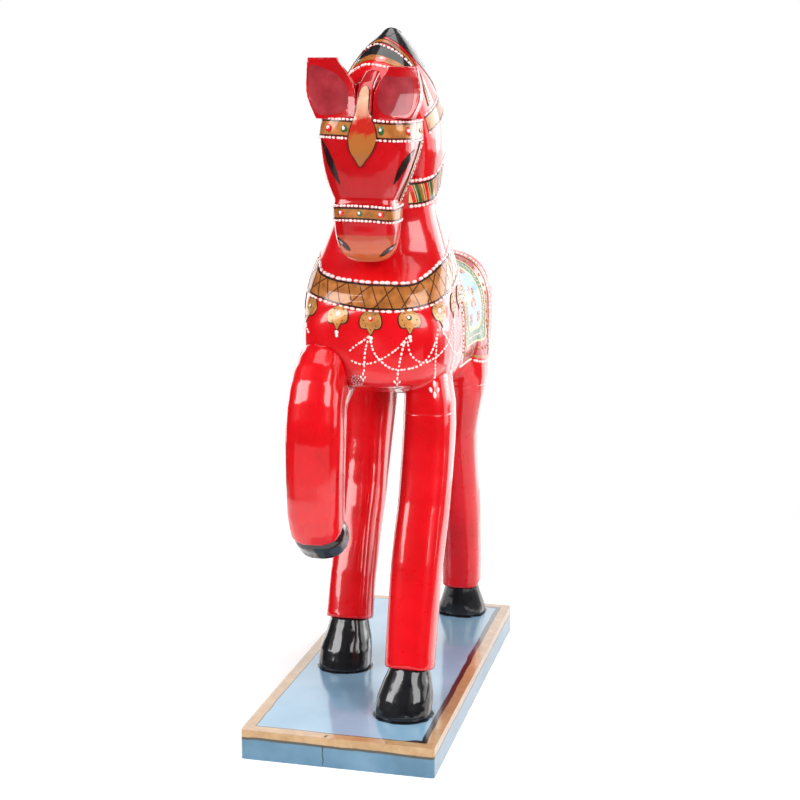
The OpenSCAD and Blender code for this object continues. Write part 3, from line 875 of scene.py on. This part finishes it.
for rim, out, size, stretch, spacing, line in (
        (top, top - bottom, 1.7, 1.5, 2.9, 0.5), (bottom, bottom - top, 1.2, 1.9, 2.8, 0.25)):
    out = out / np.linalg.norm(out, axis=1)[:, None]
    coat("painted_lines", TRUNK, [rim - out * line, rim + out * 0.45], LINE_LIFT, 1, True)
    beads(TRUNK, (rim + out * (0.55 + size / 2))[::3], spacing, size, 0.75, True, stretch)
# Two sets of slanting lines: one leans a little forwards, the other back across it.
for reach, every, width in ((4, 5, 0.45), (-8, 10, 0.6)):
    for k in range(0, ROUND, every):
        way = bottom[(k + reach) % ROUND] - top[k]
        line = [Vector(top[k] + way * f) for f in (0.03, 0.35, 0.65, 0.97)]
        stroke("painted_hatch", TRUNK, line, width, 0.36, across=1, step=1.6)

# ---- the chest ----

# Pendants under the collar.
MEDALLION = [
    (0, 4.6), (2.6, 4.0), (4.4, 2.0), (4.8, -0.6), (4.1, -2.6), (2.9, -3.2), (1.8, -3.1), (1.1, -4.2),
    (0, -6.0), (-1.1, -4.2), (-1.8, -3.1), (-2.9, -3.2), (-4.1, -2.6), (-4.8, -0.6), (-4.4, 2.0),
    (-2.6, 4.0)]
STUDS = ((-3.1, 0.2), (3.1, 0.2), (-2.1, 3.0), (2.1, 3.0), (-2.2, -2.0), (2.2, -2.0), (0, -3.6))
PENDANTS = (
    (-106, 187.4, "pearls"), (-84, 186.2, "green"), (-62, 184.8, "ruby"), (-41, 183.2, "green"),
    (-18, 181.4, "pearls"), (2.5, 179.6, "ruby"), (25, 180.2, "green"), (46.5, 182.2, "pearls"),
    (69, 184.6, "ruby"), (91, 186.6, "green"))


def pendant(angle, z, colour):
    """A gold medallion with a stone, dark studs and two pearls hanging from it. Each has its own outline."""
    spot = tangent_spot(TRUNK, around([(angle, z)])[0])
    wide = RNG.uniform(0.93, 1.03, len(MEDALLION))
    high = RNG.uniform(0.94, 1.04, len(MEDALLION))
    shape = [(x * w, y * h) for (x, y), w, h in zip(MEDALLION, wide, high)]
    plate("painted_lines", TRUNK, spot, [(x * 1.1, y * 1.09 - 0.1) for x, y in shape], 0.22)
    plate("pendant_gold", TRUNK, spot, shape, 0.40)
    stone(TRUNK, spot(0, 1.0), colour, 2.7)
    for x, y in STUDS:
        place, normal = TRUNK.near(spot(x, y))
        dome("painted_hatch", place + normal * 0.3, Vector(UP), normal, 0.7, 0.6, 0.25, 6)
    for y, size in ((-7.3, 1.8), (-8.9, 1.4)):
        place, normal = TRUNK.near(spot(RNG.uniform(-0.2, 0.2), y))
        dome("painted_pearls", place, Vector(UP), normal, size * 1.1, size, 0.6)


for angle, z, colour in PENDANTS:
    pendant(angle, z, colour)

# Chains of dots over the chest: places seen from the front, and then places on round the side.
CHAINS = (
    ([(1.2, 173.4), (-0.2, 169), (-0.9, 165), (-1.3, 157.6)], []),
    ([(17.3, 173.4), (15.8, 169), (14.8, 165), (13.2, 156.4)], []),
    ([(28.6, 176), (28.4, 169), (27.8, 160), (26.6, 153)], []),
    ([(1.2, 173.2), (3, 166.8), (5.8, 163), (10, 159.9), (13.2, 159.2), (17.3, 159.5), (21.2, 160.5),
        (24.4, 162.6), (27, 167), (28.5, 173)], []),
    ([(-7.2, 162.6), (-3, 161.1), (2.4, 161.8), (7.9, 164.4), (13.2, 168.2), (16.8, 172)], []),
    ([(17.4, 172), (18.6, 166.6), (20.4, 164.1), (22.4, 162.6), (25, 162.2), (27.3, 163.4)],
        [(46, 165.8), (56, 170), (66, 177)]),
    ([(1, 173.2), (-1.6, 171.2), (-5.2, 168.8), (-7.8, 166.4)], []),
    ([], [(46.5, 174.5), (57, 168), (68, 163), (80, 161.4), (92, 165), (96, 171)]),
    ([], [(-18, 174.8), (-18.4, 172.4)]),
    ([], [(69, 177), (69.5, 168), (69.5, 158)]),
    ([], [(-41, 176.4), (-36, 172.6)]),
    ([], [(-62, 178), (-62, 168)]),
    ([], [(-62, 177.4), (-73, 168), (-84, 164.6), (-95, 168), (-106, 180)]),
    ([], [(-84, 179), (-84.5, 169), (-84.5, 159)]))
for ahead, beside in CHAINS:
    points = front(TRUNK, ahead) + around(beside)
    beads(TRUNK, points, 1.75, 0.95, 0.45, stretch=1.35)


def tassel(centre, size):
    """Four painted drops at the end of a chain."""
    spot = tangent_spot(TRUNK, centre)
    for x, y, length in ((0, 0.3, 2.4), (-1.4, -1.8, 2.2), (1.2, -1.9, 2.0), (-0.1, -3.6, 2.6)):
        place, normal = TRUNK.near(spot(x * size, y * size))
        dome("painted_pearls", place, Vector((x * 0.25, 0, 1)), normal, length * size, 1.15 * size, 0.5)


for x, z, size in ((26.4, 151, 1.25), (13, 155, 0.8), (-1.8, 156.6, 0.7)):
    tassel(front(TRUNK, [(x, z)])[0], size)
for angle, z in ((69.5, 156), (-62, 166), (-84.5, 157)):
    tassel(around([(angle, z)])[0], 1.25)

# Small silver flower where the chest meets the raised leg: a dot and two rings of dots.
flower = tangent_spot(TRUNK, front(TRUNK, [(-4.6, 153.8)])[0])
for r, count, turn in ((0, 1, 0), (1.2, 6, 0), (2.3, 12, 15)):
    for k in range(count):
        a = math.radians(turn + k * 360 / count)
        place, normal = TRUNK.near(flower(1.1 * r * math.cos(a), r * math.sin(a)))
        dome("silver_dots_and_highlights", place, Vector(UP), normal, 0.85, 0.85, 0.45, 6)

# ---- crest and mane ----

# Crest between the ears: pearls, gold with a jewel, the dark forelock, pearls and a second gold band.
LOWER_PEARLS = [
    (-13.4, -16.5, 283), (-9.3, -19, 285.2), (-5.9, -19.8, 286.4), (-1, -21.4, 286.3),
    (3.2, -21.9, 285.4), (8, -20.5, 283.5), (12.4, -19, 280)]
LOWER_GOLD = [
    (-13.2, -14, 285.4), (-9.6, -15.8, 287.6), (-4.8, -17.4, 289.6), (-0.5, -18.6, 289.4),
    (4.4, -19.3, 287.8), (9, -18.6, 285.4), (13.2, -17.5, 281.4)]
FORELOCK_TOP = [
    (-12.4, -10.5, 288.5), (-8.6, -11, 291.8), (-4.4, -11.4, 294.6), (0.2, -12.8, 295),
    (5, -14, 292.2), (9.6, -14.2, 289), (14, -14, 283.6)]
UPPER_PEARLS = [
    (-10.6, -8, 291.6), (-6.3, -10.2, 294.4), (-2.8, -11.6, 295.3), (1, -13.2, 294.3),
    (4.7, -13.9, 292.8), (8, -14, 290.6), (11.4, -13.6, 287.6), (15, -13.2, 282)]
CROWN = [
    (-19.6, -13.5, 271), (-17.5, -12, 277), (-14.4, -9.6, 284), (-9.8, -8, 291.6), (-5, -9.2, 296),
    (-0.5, -10.8, 297), (3.4, -11.7, 295.4), (7.6, -12.4, 291.9), (11.9, -12.1, 288),
    (15.6, -12.6, 281.6), (18, -14, 276), (20.4, -15.4, 270)]


def on_neck(points, count):
    return curve([NECK.near(p)[0] for p in points], 1, count=count)


beads(NECK, LOWER_PEARLS, 1.8, 1.3, 0.6)
stroke("painted_gold", NECK, LOWER_GOLD, 3.0, GOLD_LIFT, across=4)
coat("black_hair", NECK, [on_neck(LOWER_GOLD, 34), on_neck(FORELOCK_TOP, 34)], 0.14, 6)
beads(NECK, UPPER_PEARLS, 1.8, 1.2, 0.6)
stroke("painted_gold", NECK, CROWN, 2.4, GOLD_LIFT, across=4)
for shift in (1.5, -1.5):
    line = [(x * (1 + shift * 0.01), y + shift * 0.55, z + shift * 0.6) for x, y, z in CROWN]
    stroke("painted_lines", NECK, line, 0.4, LINE_LIFT)
stone(NECK, (0.7, -19, 288.7), "pink", 3.4, "ruby", (1, 0, -0.1), 1.5)
stone(NECK, (-9.2, -15.6, 287.6), "green", 2.0)

# Mane: black paint from the crest down the back of the neck.
MANE_EDGE = [
    (2.5, -9.6, 298), (7.6, -9.6, 294.4), (12.4, -8.4, 289.2), (15.6, -3, 283.4), (16.6, 4, 276),
    (16, 12, 264), (14, 18, 250), (13, 22, 236), (13, 25.5, 222), (10, 30, 214.5)]
MANE_RIDGE = [
    (0.2, -8.2, 299.2), (0.6, -4.5, 301), (0.8, 1, 301.8), (0.6, 9, 299), (0.2, 19, 288),
    (0, 27, 266), (0, 30, 250), (0, 31, 236), (0, 33, 222), (0, 34, 214.5)]
STEPS = 90
STRANDS = 14
left = on_neck(MANE_EDGE, STEPS)
ridge = on_neck(MANE_RIDGE, STEPS)
right = on_neck([(1.2 - x, y, z) for x, y, z in MANE_EDGE], STEPS)
coat("black_hair", NECK, [right, ridge, left], 0.22, 8)
# A narrower run along the sharp top, where the ridge would cut through a wide one.
stroke("black_hair", NECK, MANE_RIDGE[:5], [4, 10, 10, 8], 0.34, across=16)
for k in range(STRANDS):
    f = (k + 0.5) / STRANDS * 2 - 1
    strand = ridge + ((left if f > 0 else right) - ridge) * abs(f)
    strand[:, 0] += 0.4 * np.sin(np.arange(STEPS) * 0.35 + k)
    stroke("mane_strands", NECK, strand[3:-3:4], [0.1, 0.5, 0.5, 0.1], 0.26, across=1, step=1.6)

# ---- saddle cloth ----

# It lies over the back, down both flanks. Its front edge sweeps back round the root of the neck.
CLOTH_DROP, CLOTH_REAR = 116, 64
CLOTH_FRONT = ((0, 40), (14, 38.5), (26, 33.5), (36, 26), (46, 19), (56, 13), (68, 9.8), (80, 9), (120, 9))
PER_MM = 1.7  # degrees round the barrel for each millimetre


def cloth_front(angle):
    return float(np.interp(abs(angle), *zip(*CLOTH_FRONT)))


def hoop(rear, inset=0.0):
    """The front or rear edge of the cloth, from hem to hem, with its corners rounded off."""
    out = []
    for a in np.linspace(-CLOTH_DROP, CLOTH_DROP, 41):
        tuck = 7 * max(0, (abs(a) - CLOTH_DROP + 20) / 20) ** 2
        out.append((CLOTH_REAR - inset - tuck, a) if rear else (cloth_front(a) + inset + tuck, a))
    return over(out)


def hem(hand, start, end, below=0):
    """A line along the lower edge of the cloth, or `below` it in degrees."""
    return over([(y, hand * (CLOTH_DROP + below)) for y in np.linspace(start, end, 12)])


def panel(inset, hand):
    """The arched outline of one side of the cloth, `inset` from its edges, as (along, angle)."""
    hem_a, rear, top_a = CLOTH_DROP - PER_MM * inset, CLOTH_REAR - inset, 4 + PER_MM * inset
    crown = (rear + cloth_front(top_a + 6) + inset) / 2 + 1
    run = [(rear - 5, hem_a), (rear - 1.2, hem_a - 5), (rear, hem_a - 14), (rear, 78), (rear, 62),
        (rear - 0.6, top_a + 20), (rear - 3.4, top_a + 8), (crown, top_a)]
    for a in (top_a + 9, top_a + 20, 58, 70, 84, hem_a - 14):
        run.append((cloth_front(a) + inset + (1.5 if a < top_a + 12 else 0), a))
    run += [(9 + inset + 1.2, hem_a - 5), (9 + inset + 5, hem_a), (36, hem_a)]
    return [(y, hand * a) for y, a in run]


def fill_panel(piece, inset, hand, lift, rings):
    outline = [(y, a / PER_MM) for y, a in panel(inset, hand)]
    plate(piece, TRUNK, lambda y, s: over([(y, s * PER_MM)])[0], outline, lift, rings, 1.2)


PETAL = ((1.6, 0), (3.4, 1.5), (5.4, 1), (6.2, 0), (5.4, -1), (3.4, -1.5))


def blossom(centre, size):
    """Eight petals, pink and gold in turn, round a red stone."""
    spot = tangent_spot(TRUNK, centre)
    for p in range(8):
        c, s = math.cos(math.radians(p * 45)), math.sin(math.radians(p * 45))
        petal = [(size * (u * c - v * s), size * (u * s + v * c)) for u, v in PETAL]
        plate("painted_gold" if p % 2 else "painted_pink", TRUNK, spot, petal, 0.58, 2, 0.9)
    stone(TRUNK, centre, "ruby", 3.0 * size)


edges = [curve(hoop(rear), 1, count=150) for rear in (False, True)]
coat("saddle_red", TRUNK, edges, 0.12, 36)
for rear in (False, True):
    stroke("painted_gold", TRUNK, hoop(rear), 1.2, 0.34)
    beads(TRUNK, hoop(rear, -1.8), 2.1, 1.35, 0.65)
for hand in (-1, 1):
    stroke("painted_gold", TRUNK, hem(hand, 16, 57), 1.2, 0.34)
    beads(TRUNK, hem(hand, 15, 58, 3), 2.1, 1.35, 0.65)
    beads(TRUNK, over(panel(3.6, hand)), 4.4, 1.8, 0.5, True, 1.0, "painted_gold")
    fill_panel("saddle_green", 7.4, hand, 0.24, 14)
    stroke("painted_cream", TRUNK, over(panel(7.4, hand)), 1.0, 0.42, True)
    beads(TRUNK, over(panel(10.6, hand)), 2.0, 1.0, 0.7, True)
    fill_panel("painted_cream", 13.4, hand, 0.36, 10)
    fill_panel("saddle_blue", 15.0, hand, 0.44, 10)
    for y, angle, size in ((37, 66, 0.95), (44, 42, 0.5), (30, 83, 0.5), (44, 83, 0.5)):
        blossom(over([(y, hand * angle)])[0], size)

# ---- board and tail ----

# Painted shadow in the crack in the front end of the board, and in a chip out of the gold above it.
BOARD_LOW, BOARD_HIGH = (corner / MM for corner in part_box("base_board"))
END_Y, TOP_Z = BOARD_LOW.y, BOARD_HIGH.z
CRACK = [(-6, 0.8), (-5.6, 3), (-6, 5.6), (-5.7, 9.2)]
CHIP = [(-5.3, 0.6), (-4.7, 2), (-3.9, 2.6)]
stroke("crack_shadow", BOARD, [(x, END_Y, z) for x, z in CRACK], [0.2, 0.4, 0.25, 0.5], 0.05, step=0.6)
stroke("crack_shadow", BOARD, [(x, END_Y + y, TOP_Z) for x, y in CHIP], [0.5, 0.9, 0.2], 0.05, step=0.4)


def smear(hoof):
    """Black paint that ran from a hoof on to the board, more of it in front."""
    foot = coords(bpy.data.objects[hoof + "_skin"].data)
    foot = foot[foot[:, 2] < foot[:, 2].min() + 1.2]
    centre = (foot.min(axis=0) + foot.max(axis=0)) / 2
    ring, widths = [], []
    for k in range(36):
        a = math.radians(k * 10)
        reach = ((foot - centre)[:, :2] @ (math.cos(a), math.sin(a))).max() + 0.1
        ring.append((centre[0] + reach * math.cos(a), centre[1] + reach * math.sin(a), TOP_Z))
        widths.append(RNG.uniform(0.5, 2.6) if math.sin(a) < 0.3 else RNG.uniform(0.4, 1.2))
    stroke("hoof_smears", BOARD, ring, widths, 0.06, True, step=0.9)


for hoof in ("hoof_front_left", "hoof_rear_left", "hoof_rear_right"):
    smear(hoof)

# Hairs painted down the tail.
HAIRS = 6
HAIR_TOP = 184
hair_foot = coords(bpy.data.objects["tail_skin"].data)[:, 2].min() + 6
for k in range(HAIRS):
    line = []
    for f in np.linspace(0, 1, 9):
        x = 3 * (2 * k / (HAIRS - 1) - 1) * (1 - 0.5 * f) - 0.4
        z = HAIR_TOP + (hair_foot - HAIR_TOP) * f
        line.append(TAIL.cast((x + 0.25 * math.sin(5 * f + k), FAR, z), (x, 0, z)))
    stroke("mane_strands", TAIL, line, [0.1, 0.45, 0.45, 0.1], 0.12, across=1, step=1.6)

for name, (points, faces) in PAINT.items():
    mesh = make_mesh(name, points, faces)
    mesh.set_sharp_from_angle(angle=math.radians(50))
    slot, look = PAINTS[name]
    add_piece(name, mesh, look)

# ---- floor, light and camera ----

FLOOR_REACH = 400
FLOOR_SIDES = 96
corners = [(FLOOR_REACH * math.cos(a), FLOOR_REACH * math.sin(a), 0)
    for a in np.linspace(0, 2 * math.pi, FLOOR_SIDES, endpoint=False)]
floor_mesh = make_mesh("floor", corners, [list(range(FLOOR_SIDES))])
floor = bpy.data.objects.new("floor", floor_mesh)
scene.collection.objects.link(floor)
floor_white, floor_shader = material("floor_white", (0.93, 0.93, 0.93), 0.9, coat=0)
floor_shader.inputs["Emission Color"].default_value = (1, 1, 1, 1)
floor_shader.inputs["Emission Strength"].default_value = 0.13
floor_mesh.materials.append(floor_white)

# The room looks white to the camera but lights the scene less than that.
ROOM_LIGHT, ROOM_SEEN = 0.42, 1.0
world = bpy.data.worlds.new("studio")
scene.world = world
world.use_nodes = True
background = world.node_tree.nodes["Background"]
background.inputs["Color"].default_value = (1, 1, 1, 1)
seen = add_node(background, "ShaderNodeLightPath").outputs["Is Camera Ray"]
plug(spread(seen, 0.0, 1.0, ROOM_LIGHT, ROOM_SEEN), background.inputs["Strength"])
# The room is dark in the lacquer; only the softboxes and the floor show in it.
world.cycles_visibility.glossy = False


def aim(obj, place, target):
    obj.location = place
    obj.rotation_euler = (Vector(target) - Vector(place)).to_track_quat("-Z", "Y").to_euler()
    scene.collection.objects.link(obj)


def softbox(name, place, width, height, power, use):
    """A rectangular light that faces the horse. It shows in the gloss, lights the paint, or does both."""
    light = bpy.data.lights.new(name, "AREA")
    light.shape = "RECTANGLE"
    light.size = width
    light.size_y = height
    light.energy = power
    obj = bpy.data.objects.new(name, light)
    obj.visible_diffuse = use != "gloss"
    obj.visible_glossy = use != "paint"
    obj.visible_camera = False
    aim(obj, place, (0, 0, 0.16))


softbox("side_panel", (0.75, 0.50, 0.36), 1.0, 0.60, 5.0, "gloss")
softbox("side_glow", (0.60, 0.62, 0.40), 0.6, 0.50, 3.6, "gloss")
softbox("rim_panel", (-0.80, 0.75, 0.25), 0.5, 0.70, 3, "gloss")
softbox("back_card", (-0.15, 1.60, 0.72), 1.7, 1.24, 11.2, "gloss")
softbox("front_card", (0.10, -1.05, -0.50), 3.0, 1.00, 6.6, "gloss")
softbox("side_back", (0.40, 1.50, -0.05), 1.3, 0.70, 5.0, "gloss")
softbox("right_window", (0.62, -0.48, 0.70), 0.58, 0.60, 7.6, "gloss")
softbox("left_window", (-0.56, -0.56, 0.66), 0.50, 0.56, 7.6, "gloss")
softbox("right_box", (0.66, -0.42, 0.52), 0.50, 0.42, 6.6, "paint")
softbox("left_box", (-0.64, -0.50, 0.54), 0.46, 0.42, 6.0, "paint")
softbox("top_box", (0.05, 0.10, 1.10), 0.7, 0.7, 4, "both")

camera = bpy.data.objects.new("camera", bpy.data.cameras.new("camera"))
camera.data.lens = 67.5
camera.data.sensor_width = 36
camera.data.clip_start = 0.01
aim(camera, (0.163283, -0.651087, 0.266373), (0.004492, 0, 0.138151))
scene.camera = camera
scene.view_settings.view_transform = "Standard"
